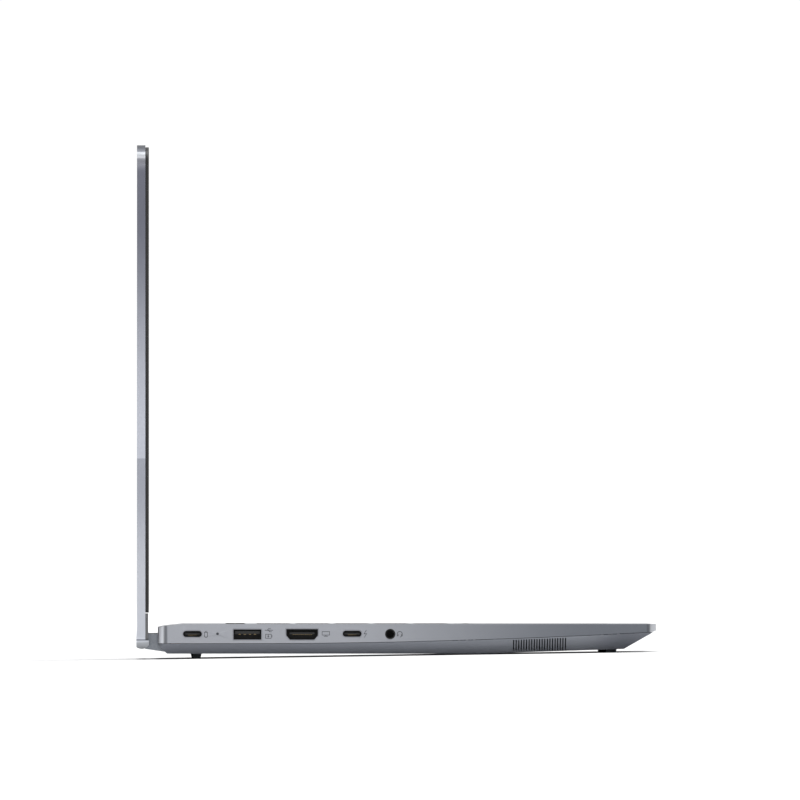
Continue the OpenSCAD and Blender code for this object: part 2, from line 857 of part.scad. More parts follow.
module camera_shutter() {
    color("#2c2d31") in_base() {
        block([knob_x[0], knob_x[1]], [-6.1, -5.5], [camera_w[0] + 0.6, 212.4]);
        block([knob_x[0] + 2, knob_x[1] - 1], [-6.1, -5.6], [212.3, 213.9]);
        block([knob_x[0] + 2, knob_x[1] - 1], [-5.7, rim_face - 0.1], [213.4, 213.95]);
    }
}

// Bracket that carries the lid end of one hinge link
module lid_bracket() {
    color("#77797e") in_base() {
        for (x = [link_x0 - shaft_end, link_x1 + notch_gap + 0.85]) difference() {
            union() {
                bar(lid_barrel_r, [x, x + barrel_l - 0.1], lid_shaft);
                block([x, x + barrel_l - 0.1], [-8.65, -7.8], [shaft_w, 3]);
            }
            bar(shaft_r + shaft_fit, [x - past, x + barrel_l + past], lid_shaft);
        }
        block([link_x0 - shaft_end, link_x1 + shaft_end - 0.1], [-8.65, -7.8], [1, 26]);
    }
}

module right_lid_bracket() {
    lid_bracket();
}

module left_lid_bracket() {
    mirror([1, 0, 0]) lid_bracket();
}

module lid_antennas() {
    color("#8d7b4a") in_base() both_sides() block([62, 112], [-8.5, -8.1], [209, 213.6]);
}

top_case();
bottom_cover();
bottom_screws();
rear_foot();
front_foot();
keyboard_plate();
motherboard();
battery();
fan_housing();
heat_pipe();
heat_sink();
ssd_card();
left_speaker();
right_speaker();
charge_port();
data_port();
left_wide_port();
right_wide_port();
video_port();
audio_jack();
charge_light();
left_base_bracket();
right_base_bracket();
fan_rotor();
touchpad();
left_click_button();
middle_click_button();
right_click_button();
power_button();
function_keys();
number_keys();
upper_letter_keys();
home_letter_keys();
lower_letter_keys();
modifier_keys();
backspace_key();
tab_key();
caps_key();
enter_key();
left_shift_key();
right_shift_key();
space_bar();
left_arrow_key();
up_arrow_key();
down_arrow_key();
right_arrow_key();
left_hinge_link();
right_hinge_link();
hinge_shafts();
lid_cover();
screen_rim();
display_glass();
display_panel();
hinge_strip();
camera_module();
camera_shutter();
left_lid_bracket();
right_lid_bracket();
lid_antennas();
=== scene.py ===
import bmesh
import bpy
import math
from mathutils import Matrix, Vector


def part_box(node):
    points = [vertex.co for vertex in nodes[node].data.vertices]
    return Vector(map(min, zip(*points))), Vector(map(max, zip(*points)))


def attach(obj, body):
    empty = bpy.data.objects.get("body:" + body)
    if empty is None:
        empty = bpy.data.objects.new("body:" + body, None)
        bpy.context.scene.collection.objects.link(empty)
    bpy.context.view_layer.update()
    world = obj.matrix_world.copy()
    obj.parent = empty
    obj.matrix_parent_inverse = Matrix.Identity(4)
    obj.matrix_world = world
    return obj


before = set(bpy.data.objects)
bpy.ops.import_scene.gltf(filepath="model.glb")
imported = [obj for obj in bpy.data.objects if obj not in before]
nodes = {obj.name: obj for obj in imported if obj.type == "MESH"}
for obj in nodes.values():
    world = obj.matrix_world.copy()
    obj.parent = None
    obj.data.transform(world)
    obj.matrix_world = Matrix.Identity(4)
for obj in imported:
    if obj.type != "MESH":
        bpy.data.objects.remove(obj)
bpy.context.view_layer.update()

scene = bpy.context.scene

# how the base stands: X across, u forward from its rear edge, w up from the deck
stance = {"lean": math.radians(0.854), "rearY": 0.107225, "deckZ": 0.015996}
forward = Vector((0, -math.cos(stance["lean"]), -math.sin(stance["lean"])))
up = Vector((0, -math.sin(stance["lean"]), math.cos(stance["lean"])))
rearEdge = Vector((0, stance["rearY"], stance["deckZ"]))
acrossAxis = Vector((1, 0, 0))
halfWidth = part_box("lid_cover")[1][0]
leftSide = -halfWidth


def place(x, u, w):
    # a point of the base or of the upright lid, in metres
    return rearEdge + Vector((x, 0, 0)) + forward * u + up * w


class Wire:
    # one shader socket that takes part in plain arithmetic
    def __init__(self, tree, socket):
        self.tree = tree
        self.socket = socket

    def maths(self, operation, left, right=0.0):
        made = self.tree.nodes.new("ShaderNodeMath")
        made.operation = operation
        for slot, value in zip(made.inputs, (left, right)):
            if isinstance(value, Wire):
                self.tree.links.new(value.socket, slot)
            else:
                slot.default_value = value
        return Wire(self.tree, made.outputs[0])

    def __add__(self, other):
        return self.maths("ADD", self, other)

    def __radd__(self, other):
        return self.maths("ADD", other, self)

    def __sub__(self, other):
        return self.maths("SUBTRACT", self, other)

    def __rsub__(self, other):
        return self.maths("SUBTRACT", other, self)

    def __mul__(self, other):
        return self.maths("MULTIPLY", self, other)

    def __rmul__(self, other):
        return self.maths("MULTIPLY", other, self)

    def __truediv__(self, other):
        return self.maths("DIVIDE", self, other)

    def __rtruediv__(self, other):
        return self.maths("DIVIDE", other, self)

    def size(self):
        return self.maths("ABSOLUTE", self)

    def above(self, edge, soft):
        # 0 below the edge and 1 above it, with a soft step
        return self.maths("MINIMUM", self.maths("MAXIMUM", (self - edge) / soft + 0.5, 0.0), 1.0)

    def rise(self, low, high):
        # 0 at low and 1 at high, easing in and out
        share = self.above((low + high) / 2, high - low)
        return share * share * (3 - 2 * share)


class Graph:
    # an emptied node tree, and the one way that nodes other than maths are put in it
    def __init__(self, tree):
        self.tree = tree
        self.tree.nodes.clear()

    def node(self, kind, settings=None, inputs=None, out=0):
        made = self.tree.nodes.new(kind)
        for name, value in (settings or {}).items():
            setattr(made, name, value)
        for name, value in (inputs or {}).items():
            if isinstance(value, Wire):
                self.tree.links.new(value.socket, made.inputs[name])
            else:
                made.inputs[name].default_value = value
        return Wire(self.tree, made.outputs[out]) if len(made.outputs) else None


class Finish(Graph):
    # a material being mixed for one of the laptop's surfaces
    def __init__(self, name):
        self.material = bpy.data.materials.new(name)
        self.material.use_nodes = True
        super().__init__(self.material.node_tree)
        self.spot = self.node("ShaderNodeTexCoord", out="Object")
        self.normal = self.node("ShaderNodeTexCoord", out="Normal")

    def noise(self, scale, detail=3.0, rough=0.5):
        return self.node("ShaderNodeTexNoise", None,
                         {"Vector": self.spot, "Scale": scale, "Detail": detail, "Roughness": rough})

    def dot(self, vector, direction):
        return self.node("ShaderNodeVectorMath", {"operation": "DOT_PRODUCT"}, {0: vector, 1: direction},
                         out="Value")

    def along(self, direction, origin=Vector((0, 0, 0))):
        # how far the surface point lies along a direction, in metres
        moved = self.node("ShaderNodeVectorMath", {"operation": "SUBTRACT"}, {0: self.spot, 1: origin})
        return self.dot(moved, direction)

    def reach(self):
        # how far forward of the base's rear edge
        return self.along(forward, rearEdge)

    def height(self):
        # how far above the deck
        return self.along(up, rearEdge)

    def facing(self, direction):
        # 1 where the surface looks straight along a direction or against it
        return self.dot(self.normal, direction).size()

    def sideways(self, edge, soft):
        # 1 on faces that look to the laptop's left or right
        return self.facing(acrossAxis).above(edge, soft)

    def uprightCorner(self, look):
        # 1 on one band of the upright round corners between a side and the front or rear
        across, level = self.facing(acrossAxis), self.facing(up)
        band = across.above(*look["start"]) * (1 - across.above(*look["end"]))
        return band * (1 - level.above(*look["level"]))

    def tint(self, factor, low, high):
        return self.node("ShaderNodeMix", {"data_type": "RGBA"}, {0: factor, 6: low, 7: high}, out=2)

    def bump(self, height, strength, distance):
        return self.node("ShaderNodeBump", None,
                         {"Height": height, "Strength": strength, "Distance": distance})

    def finish(self, sockets):
        shader = self.node("ShaderNodeBsdfPrincipled", None, sockets, out="BSDF")
        self.node("ShaderNodeOutputMaterial", None, {"Surface": shader})
        return self.material


def rgb(red, green, blue):
    return (red, green, blue, 1.0)


def grey(tone, blue=0.0):
    return (tone * (1 - blue), tone, tone * (1 + 1.6 * blue), 1.0)


def wear(material, *names):
    # puts a finish on CAD nodes
    for name in names:
        slots = nodes[name].material_slots
        if not slots:
            nodes[name].data.materials.append(material)
        for entry in slots:
            entry.material = material


# what every blasted metal shares: how its noises mix, how rough they make it and how deep they bite
blastLook = {"grainShare": 0.45, "cloudShare": 0.35, "rubShare": 0.2, "rubFiner": 9, "grainRough": 0.1,
             "cloudRough": 0.06, "metal": 1.0, "sideEdge": 0.93, "sideSoft": 0.1, "bite": 0.2,
             "biteDepth": 0.00003}
# bands of a round corner by how far it looks sideways, each an edge and its softness; the middle band takes a
# painted highlight and the band next to the flat side a painted shade line
cornerHighlightBand = {"start": (0.36, 0.2), "end": (0.86, 0.1), "level": (0.3, 0.2)}
cornerShadeLineBand = {"start": (0.9, 0.04), "end": (0.985, 0.015), "level": (0.15, 0.1)}


def blastedMetal(name, look, paintSideLight=None):
    # blasted and anodised metal; the side function paints light and shade into the colour of the narrow side
    # faces, and a look may add painted shade along the top and a painted highlight and shade line on the
    # upright corners
    look = {**blastLook, **look}
    made = Finish(name)
    grain = made.noise(look["grain"], 2.0, 0.6)
    cloud = made.noise(look["cloud"], 3.0, 0.55)
    rub = made.noise(look["cloud"] * look["rubFiner"], 2.0, 0.5)
    mottle = grain * look["grainShare"] + cloud * look["cloudShare"] + rub * look["rubShare"]
    tone = made.tint(mottle, look["dark"], look["light"])
    rough = look["rough"] + (grain - 0.5) * look["grainRough"] + (cloud - 0.5) * look["cloudRough"]
    metal = look["metal"]
    if paintSideLight:
        side = made.sideways(look["sideEdge"], look["sideSoft"])
        tone = made.tint(side, tone, paintSideLight(made, mottle))
        rough = rough - side * look["sideGloss"]
        metal = metal + side * (look["sideMetal"] - metal)
    # painted shade: the top of the lid's rounded edge is coloured dark
    if "paintedCrownShadeTone" in look:
        tone = made.tint(made.height().above(look["paintedCrownShadeW"], look["paintedCrownShadeSoft"]), tone, look["paintedCrownShadeTone"])
    # painted highlight: a pale, less metallic band on the upright round corners, weaker towards the front
    if "paintedCornerHighlight" in look:
        fade = 1 - made.reach().rise(look["paintedCornerHighlightStart"], look["paintedCornerHighlightEnd"]) * look["paintedCornerHighlightFade"]
        share = made.uprightCorner(cornerHighlightBand) * look["paintedCornerHighlight"] * fade
        tone = made.tint(share, tone, look["paintedCornerHighlightTone"])
        metal = metal * (1 - share)
        # painted shade: a dark line on the round corners next to the flat sides
        tone = made.tint(made.uprightCorner(cornerShadeLineBand) * look["line"], tone, look["paintedShadeLineTone"])
    return made.finish({"Base Color": tone, "Metallic": metal, "Roughness": rough,
                        "Normal": made.bump(grain, look["bite"], look["biteDepth"])})


shadeSpread = 0.03  # how far a side tone strays either way


def shadeOf(made, mottle, tone):
    # a side tone with the same faint mottling as the rest of the metal
    darker, lighter = [tuple(c * far for c in tone[:3]) + (1,) for far in (1 - shadeSpread, 1 + shadeSpread)]
    return made.tint(mottle, darker, lighter)


# painted shade: the side faces of the base are coloured lighter at the rear and darker towards the front, for
# light that falls off along them
basePaintedShade = {"rear": rgb(0.385, 0.398, 0.434), "front": rgb(0.163, 0.175, 0.199), "paintedShadeStartU": 0.07,
             "paintedShadeEndU": 0.205}


def baseSidePaintedShade(made, mottle):
    return made.tint(made.reach().rise(basePaintedShade["paintedShadeStartU"], basePaintedShade["paintedShadeEndU"]),
                     shadeOf(made, mottle, basePaintedShade["rear"]), shadeOf(made, mottle, basePaintedShade["front"]))


# painted shade: the belly's side faces change tone from rear to front, and the nose at the front is coloured
# darker still
bellyPaintedShade = {"rear": rgb(0.20, 0.212, 0.245), "front": rgb(0.27, 0.285, 0.32), "paintedShadeStartU": 0.02, "paintedShadeEndU": 0.21,
              "paintedNoseShade": rgb(0.15, 0.16, 0.187), "paintedNoseShadeStart": 0.188, "paintedNoseShadeEnd": 0.212}


def bellySidePaintedShade(made, mottle):
    reach = made.reach()
    tone = made.tint(reach.rise(bellyPaintedShade["paintedShadeStartU"], bellyPaintedShade["paintedShadeEndU"]),
                     shadeOf(made, mottle, bellyPaintedShade["rear"]), shadeOf(made, mottle, bellyPaintedShade["front"]))
    return made.tint(reach.rise(bellyPaintedShade["paintedNoseShadeStart"], bellyPaintedShade["paintedNoseShadeEnd"]), tone,
                     shadeOf(made, mottle, bellyPaintedShade["paintedNoseShade"]))


# tones of the lid's side edge, and the heights above the deck where they start and end; apart from the finish
# break they are painted light and shade: a painted gradient above and below the break, a painted highlight
# near the top and a painted shade line near the lower end
lidToneAndPaintedLight = {"paintedLitTone": rgb(0.55, 0.573, 0.643), "dark": rgb(0.172, 0.179, 0.22), "paintedFadeLow": 0.084,
            "paintedFadeHigh": 0.186, "breakW": 0.0746, "breakSoft": 0.0004,
            "lowPaintedLitTone": rgb(0.56, 0.583, 0.64), "lowPaintedShadeTone": rgb(0.375, 0.393, 0.45), "lowPaintedFadeStart": 0.018,
            "lowPaintedFadeEnd": 0.066, "glow": rgb(0.90, 0.91, 0.98), "paintedHighlightW": 0.2099, "paintedHighlightSoft": 0.0006,
            "paintedHighlightFade": 0.3, "paintedHighlightFadeW": 0.2035, "line": rgb(0.17, 0.18, 0.21), "paintedShadeLineW": -0.0072, "paintedShadeLineHalf": 0.0003,
            "paintedShadeLineSoft": 0.0003}


def lidSideToneAndPaintedLight(made, mottle):
    # the side edge of the lid changes tone at one height, where the shell's window for the antennas ends; over
    # this two-tone finish lie painted gradients of light and shade, a painted highlight near the top and a
    # painted shade line near the lower end
    height = made.height()
    # painted light and shade: above and below the break the edge is coloured lighter low down and darker
    # higher up
    upper = made.tint(height.rise(lidToneAndPaintedLight["paintedFadeLow"], lidToneAndPaintedLight["paintedFadeHigh"]),
                      shadeOf(made, mottle, lidToneAndPaintedLight["paintedLitTone"]), shadeOf(made, mottle, lidToneAndPaintedLight["dark"]))
    lower = made.tint(height.rise(lidToneAndPaintedLight["lowPaintedFadeStart"], lidToneAndPaintedLight["lowPaintedFadeEnd"]),
                      shadeOf(made, mottle, lidToneAndPaintedLight["lowPaintedLitTone"]), shadeOf(made, mottle, lidToneAndPaintedLight["lowPaintedShadeTone"]))
    tone = made.tint(height.above(lidToneAndPaintedLight["breakW"], lidToneAndPaintedLight["breakSoft"]), lower, upper)
    # painted highlight: the side edge turns pale towards the top of the lid and is pale at the top
    paintedHighlightFade = height.rise(lidToneAndPaintedLight["paintedHighlightFadeW"], lidToneAndPaintedLight["paintedHighlightW"]) * lidToneAndPaintedLight["paintedHighlightFade"]
    tone = made.tint(paintedHighlightFade, tone, lidToneAndPaintedLight["glow"])
    tone = made.tint(height.above(lidToneAndPaintedLight["paintedHighlightW"], lidToneAndPaintedLight["paintedHighlightSoft"]), tone, lidToneAndPaintedLight["glow"])
    # painted shade: a thin dark line across the side edge where the lid's lower end starts to round
    line = 1 - (height - lidToneAndPaintedLight["paintedShadeLineW"]).size().above(lidToneAndPaintedLight["paintedShadeLineHalf"], lidToneAndPaintedLight["paintedShadeLineSoft"])
    return made.tint(line, tone, shadeOf(made, mottle, lidToneAndPaintedLight["line"]))


# the case look paints a highlight and a shade line onto the base's upright corners, and the lid look paints
# shade along the lid's rounded top
caseLook = {"dark": grey(0.36, 0.035), "light": grey(0.42, 0.035), "rough": 0.44, "grain": 5200, "cloud": 22,
            "metal": 0.65, "sideMetal": 1.0, "sideGloss": 0.14, "paintedCornerHighlight": 0.8,
            "paintedCornerHighlightTone": rgb(0.82, 0.84, 0.9), "paintedCornerHighlightStart": 0.05, "paintedCornerHighlightEnd": 0.2, "paintedCornerHighlightFade": 0.7,
            "line": 0.6, "paintedShadeLineTone": rgb(0.10, 0.105, 0.12)}
lidLook = {"dark": grey(0.36, 0.04), "light": grey(0.42, 0.04), "rough": 0.44, "grain": 5200, "cloud": 18,
           "metal": 0.65, "sideMetal": 1.0, "sideGloss": 0.14, "paintedCrownShadeTone": rgb(0.10, 0.105, 0.12),
           "paintedCrownShadeW": 0.2126, "paintedCrownShadeSoft": 0.0007}
bellyLook = {"dark": grey(0.17, 0.05), "light": grey(0.21, 0.05), "rough": 0.45, "grain": 3600, "cloud": 25,
             "metal": 0.4, "sideMetal": 0.3, "sideGloss": 0.05, "sideEdge": 0.6}
linkLook = {"dark": grey(0.20, 0.07), "light": grey(0.25, 0.07), "rough": 0.2, "grain": 4200, "cloud": 60}
steelLook = {"dark": grey(0.30), "light": grey(0.42), "rough": 0.28, "grain": 2500, "cloud": 120}
screwLook = {"dark": grey(0.012), "light": grey(0.024), "metal": 0.3, "rough": 0.35, "grain": 2500,
             "cloud": 120}
goldLook = {"dark": rgb(0.42, 0.31, 0.15), "light": rgb(0.60, 0.46, 0.25), "rough": 0.25, "grain": 3000,
            "cloud": 200}
copperLook = {"dark": rgb(0.52, 0.22, 0.12), "light": rgb(0.72, 0.33, 0.19), "rough": 0.3, "grain": 1500,
              "cloud": 90}
contactGold = blastedMetal("contactGold", goldLook)
wear(blastedMetal("caseMetal", caseLook, baseSidePaintedShade), "top_case", "power_button")
wear(blastedMetal("lidMetal", lidLook, lidSideToneAndPaintedLight), "lid_cover")
wear(blastedMetal("bellyMetal", bellyLook, bellySidePaintedShade), "bottom_cover")
wear(blastedMetal("linkMetal", linkLook), "left_hinge_link", "right_hinge_link")
wear(blastedMetal("hingeSteel", steelLook), "hinge_shafts", "left_base_bracket", "right_base_bracket",
     "left_lid_bracket", "right_lid_bracket")
wear(blastedMetal("blackSteel", screwLook), "bottom_screws")
wear(blastedMetal("copper", copperLook), "heat_pipe", "heat_sink")
wear(contactGold, "lid_antennas")

# painted shade: the inside of each socket shell is coloured near black for the shade in the recess
socketLook = {"inside": grey(0.010), "insideWorn": grey(0.020), "rim": rgb(0.30, 0.31, 0.34),
              "rimWorn": rgb(0.38, 0.39, 0.43), "grain": 1800, "scratch": 420, "rimDepth": 0.0004,
              "rimSoft": 0.0001, "rimMetal": 0.9, "rough": 0.45, "rimGloss": 0.1, "grainRough": 0.1}


def socketFinish(look):
    # a pale metal rim at the mouth, and the inside coloured near black as painted shade for the recess
    made = Finish("socketShell")
    grain = made.noise(look["grain"], 2.0, 0.6)
    scratch = made.noise(look["scratch"], 4.0, 0.6)
    inside = made.tint(grain, look["inside"], look["insideWorn"])
    rim = made.tint(scratch, look["rim"], look["rimWorn"])
    mouth = made.along(acrossAxis).size().above(halfWidth - look["rimDepth"], look["rimSoft"])
    rough = look["rough"] - mouth * look["rimGloss"] + (grain - 0.5) * look["grainRough"]
    return made.finish({"Base Color": made.tint(mouth, inside, rim), "Metallic": mouth * look["rimMetal"],
                        "Roughness": rough})


wear(socketFinish(socketLook), "charge_port", "data_port", "left_wide_port", "right_wide_port", "video_port")
print("metals are on")

# what every moulded piece shares, unless its own look says otherwise
mouldLook = {"cloud": 40, "pebbleRough": 0.16, "cloudRough": 0.1, "shine": 0.4, "bite": 0.4,
             "biteDepth": 0.00005}


def mouldedPlastic(name, look):
    look = {**mouldLook, **look}
    made = Finish(name)
    pebble = made.noise(look["pebble"], 2.0, 0.7)
    cloud = made.noise(look["cloud"], 3.0, 0.5)
    tone = made.tint(pebble * 0.5 + cloud * 0.5, look["dark"], look["light"])
    rough = look["rough"] + (pebble - 0.5) * look["pebbleRough"] + (cloud - 0.5) * look["cloudRough"]
    return made.finish({"Base Color": tone, "Roughness": rough, "Specular IOR Level": look["shine"],
                        "Normal": made.bump(pebble, look["bite"], look["biteDepth"])})


keyLook = {"dark": grey(0.010, 0.03), "light": grey(0.018, 0.03), "rough": 0.62, "pebble": 3800, "shine": 0.25}
buttonLook = {"dark": grey(0.02, 0.03), "light": grey(0.034, 0.03), "rough": 0.42, "pebble": 4200}
blackLook = {"dark": grey(0.008), "light": grey(0.016), "rough": 0.48, "pebble": 3000}
rimLook = {"dark": grey(0.014), "light": grey(0.022), "rough": 0.42, "pebble": 2600, "bite": 0.25}
footLook = {"dark": grey(0.17, 0.10), "light": grey(0.22, 0.10), "rough": 0.72, "pebble": 1500, "bite": 0.7}
stripLook = {"dark": grey(0.13, 0.02), "light": grey(0.17, 0.02), "rough": 0.45, "pebble": 3600}
boardLook = {"dark": rgb(0.006, 0.035, 0.02), "light": rgb(0.012, 0.06, 0.035), "rough": 0.4, "pebble": 900}
keyNodes = [name for name in nodes if name.endswith(("_key", "_keys"))] + ["space_bar"]
wear(mouldedPlastic("keyPlastic", keyLook), *keyNodes)
wear(mouldedPlastic("buttonPlastic", buttonLook), "left_click_button", "middle_click_button",
     "right_click_button")
wear(mouldedPlastic("blackPlastic", blackLook), "keyboard_plate", "battery", "fan_housing", "fan_rotor",
     "left_speaker", "right_speaker", "audio_jack", "camera_shutter", "camera_module")
wear(mouldedPlastic("rimRubber", rimLook), "screen_rim")
wear(mouldedPlastic("footRubber", footLook), "rear_foot", "front_foot")
wear(mouldedPlastic("stripPlastic", stripLook), "hinge_strip")
wear(mouldedPlastic("boardLaminate", boardLook), "motherboard", "ssd_card")

touchLook = {"etch": 4200, "smear": 26, "etchShare": 0.4, "smearShare": 0.6, "dark": grey(0.17, 0.03),
             "light": grey(0.21, 0.03), "rough": 0.34, "smearRough": 0.08, "metal": 0.35, "bite": 0.12,
             "biteDepth": 0.00003}


def touchFinish(look):
    made = Finish("touchGlass")
    etch = made.noise(look["etch"], 2.0, 0.5)
    smear = made.noise(look["smear"], 4.0, 0.6)
    tone = made.tint(etch * look["etchShare"] + smear * look["smearShare"], look["dark"], look["light"])
    return made.finish({"Base Color": tone, "Roughness": look["rough"] + smear * look["smearRough"],
                        "Metallic": look["metal"],
                        "Normal": made.bump(etch, look["bite"], look["biteDepth"])})


screenLook = {"inset": 0.0017, "bottomW": 0.0184, "topW": 0.2069, "edgeSoft": 0.0002, "border": grey(0.004),
              "picture": rgb(0.011, 0.012, 0.015), "smear": 14, "rough": 0.05, "smearRough": 0.05,
              "coat": 0.6, "coatRough": 0.03, "bend": 1.5}


def screenFinish(look):
    # dark picture area behind clear glass, with a blacker border printed round it
    made = Finish("screenGlass")
    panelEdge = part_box("display_panel")[1][0] - look["inset"]
    smear = made.noise(look["smear"], 5.0, 0.6)
    height = made.height()
    picture = 1 - made.along(acrossAxis).size().above(panelEdge, look["edgeSoft"])
    picture = picture * height.above(look["bottomW"], look["edgeSoft"])
    picture = picture * (1 - height.above(look["topW"], look["edgeSoft"]))
    return made.finish({"Base Color": made.tint(picture, look["border"], look["picture"]),
                        "Roughness": look["rough"] + smear * look["smearRough"], "Coat Weight": look["coat"],
                        "Coat Roughness": look["coatRough"], "IOR": look["bend"]})


chargeLensLook = {"speck": 3000, "dark": rgb(0.035, 0.04, 0.05), "light": rgb(0.06, 0.065, 0.08),
                  "rough": 0.2, "speckRough": 0.1, "coat": 0.5}


def chargeLens(look):
    made = Finish("lightLens")
    speck = made.noise(look["speck"], 2.0, 0.5)
    return made.finish({"Base Color": made.tint(speck, look["dark"], look["light"]),
                        "Roughness": look["rough"] + speck * look["speckRough"], "Coat Weight": look["coat"]})


wear(touchFinish(touchLook), "touchpad")
wear(screenFinish(screenLook), "display_glass", "display_panel")
wear(chargeLens(chargeLensLook), "charge_light")
print("plastics and glass are on")

# how wide each softened edge is, in metres
edgeRound = {"top_case": 0.00025, "bottom_cover": 0.0002, "lid_cover": 0.00045, "screen_rim": 0.00022,
             "hinge_strip": 0.0002, "touchpad": 0.0002, "rear_foot": 0.0003, "front_foot": 0.0003,
             "display_glass": 0.0002, "power_button": 0.0003, "left_click_button": 0.0002,
             "middle_click_button": 0.0002, "right_click_button": 0.0002}
edgeRound.update({name: 0.0004 for name in keyNodes})
edgeLook = {"weld": 0.000002, "segments": 3, "sharper": math.radians(34), "weight": 50}


def softenEdges(piece, width):
    weld = piece.modifiers.new("weld", "WELD")
    weld.merge_threshold = edgeLook["weld"]
    soften = piece.modifiers.new("soften", "BEVEL")
    soften.width = width
    soften.segments = edgeLook["segments"]
    soften.limit_method = "ANGLE"
    soften.angle_limit = edgeLook["sharper"]
    even = piece.modifiers.new("even", "WEIGHTED_NORMAL")  # keeps the broad faces flat in the light
    even.weight = edgeLook["weight"]


for name, width in edgeRound.items():
    softenEdges(nodes[name], width)
print("edges are softened")


def pieceOf(name, build, material, body):
    mesh = bpy.data.meshes.new(name)
    build.to_mesh(mesh)
    build.free()
    made = bpy.data.objects.new(name, mesh)
    made.data.materials.append(material)
    scene.collection.objects.link(made)
    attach(made, body)


inkLook = {"speck": 2600, "fade": 180, "speckShare": 0.6, "fadeShare": 0.4, "rough": 0.5, "speckRough": 0.15}


def inkFinish(name, low, high, shine):
    made = Finish(name)
    speck = made.noise(inkLook["speck"], 3.0, 0.6)
    fade = made.noise(inkLook["fade"], 2.0, 0.5)
    tone = made.tint(speck * inkLook["speckShare"] + fade * inkLook["fadeShare"], low, high)
    return made.finish({"Base Color": tone, "Roughness": inkLook["rough"] + speck * inkLook["speckRough"],
                        "Specular IOR Level": shine})


def stroke(build, points, wide, lay):
    # a flat line of even width through points; lay turns a flat point into a place on the laptop
    for (ax, ay), (bx, by) in zip(points, points[1:]):
        length = math.hypot(bx - ax, by - ay)
        dx, dy = (bx - ax) / length * wide / 2, (by - ay) / length * wide / 2
        corners = [(ax - dx - dy, ay - dy + dx), (ax - dx + dy, ay - dy - dx),
                   (bx + dx + dy, by + dy - dx), (bx + dx - dy, by + dy + dx)]
        build.faces.new([build.verts.new(lay(x, y)) for x, y in corners])


def arc(middle, radius, start, end, steps=14):
    turns = [math.radians(start + (end - start) * i / steps) for i in range(steps + 1)]
    return [(middle[0] + radius * math.cos(turn), middle[1] + radius * math.sin(turn)) for turn in turns]


# small signs beside the sockets: how far forward each stands, and its lines, in millimetres about its middle
signLook = {"wide": 0.2, "lift": 0.00003, "level": -4.4, "scale": 1.2}
signs = {
    21.6: [[(-0.55, -0.8), (-0.55, 0.55), (0.55, 0.55), (0.55, -0.8)], arc((0, -0.8), 0.55, 180, 360),
           [(-0.25, 0.55), (-0.25, 1.0)], [(0.25, 0.55), (0.25, 1.0)]],
    49.9: [[(-1.4, 1.3), (1.5, 1.3)], [(-0.6, 1.3), (-0.1, 1.85), (0.7, 1.85)],
           [(-0.2, 1.3), (0.3, 0.75), (1.0, 0.75)],
           [(-1.2, -1.7), (-1.2, -0.2), (0.9, -0.2), (0.9, -1.7), (-1.2, -1.7)], [(1.2, -1.25), (1.2, -0.65)],
           [(-0.1, -0.5), (-0.45, -0.95), (0.05, -0.95), (-0.25, -1.4)]],
    75.6: [[(-1.4, -0.5), (-1.4, 0.8), (1.4, 0.8), (1.4, -0.5), (-1.4, -0.5)], [(0, -0.5), (0, -0.95)],
           [(-0.7, -0.95), (0.7, -0.95)]],
    93.4: [[(0.35, 1.3), (-0.5, -0.05), (0.45, 0.05), (-0.35, -1.3)]],
    108.9: [arc((0, -0.1), 0.95, 0, 180), [(-0.95, -0.1), (-0.95, -0.8), (-0.6, -0.8), (-0.6, -0.2)],
            [(0.95, -0.1), (0.95, -0.8), (0.6, -0.8), (0.6, -0.2)], [(0.8, -0.8), (0.2, -1.25)]]}


def socketSigns():
    build = bmesh.new()
    scale = signLook["scale"]
    for middle, lines in signs.items():
        for line in lines:
            stroke(build, line, signLook["wide"],
                   lambda x, y: place(leftSide - signLook["lift"], (middle + x * scale) / 1000,
                                      (signLook["level"] + y * scale) / 1000))
    ink = inkFinish("signInk", grey(0.05, 0.05), grey(0.08, 0.05), 0.3)
    pieceOf("socket_signs", build, ink, "base")


# gold contacts on the tongues, in millimetres; level is how high a contact's middle lies against the deck
contacts = {"charge_port": {"count": 8, "pitch": 0.5, "length": 3.2, "level": -4.9, "wide": 0.22},
            "data_port": {"count": 8, "pitch": 0.5, "length": 3.2, "level": -4.8, "wide": 0.22},
            "left_wide_port": {"count": 4, "pitch": 2.3, "length": 5.0, "level": -4.52, "wide": 1.0},
            "right_wide_port": {"count": 4, "pitch": 2.3, "length": 5.0, "level": -4.52, "wide": 1.0},
            "video_port": {"count": 10, "pitch": 0.9, "length": 4.2, "level": -4.65, "wide": 0.4}}
contactLook = {"setBack": 0.0016, "dip": 0.12, "thick": 0.12}


def socketContacts():
    build = bmesh.new()
    for port, row in contacts.items():
        low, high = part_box(port)
        middle = (Vector(low) + Vector(high)) / 2
        u = (middle - rearEdge).dot(forward) * 1000
        side = 1 if middle.x > 0 else -1
        mouth = abs(high[0] if side > 0 else low[0]) - contactLook["setBack"]
        for i in range(row["count"]):
            spot = u + (i - (row["count"] - 1) / 2) * row["pitch"]
            for v in bmesh.ops.create_cube(build, size=1)["verts"]:
                front = v.co.x > 0
                depth = 0 if front else row["length"] / 1000
                level = row["level"] - (contactLook["dip"] if front else 0)  # the front end bends down
                v.co = place(side * (mouth - depth), (spot + v.co.y * row["wide"]) / 1000,
                             (level + v.co.z * contactLook["thick"]) / 1000)
    bmesh.ops.recalc_face_normals(build, faces=build.faces)
    pieceOf("socket_contacts", build, contactGold, "base")


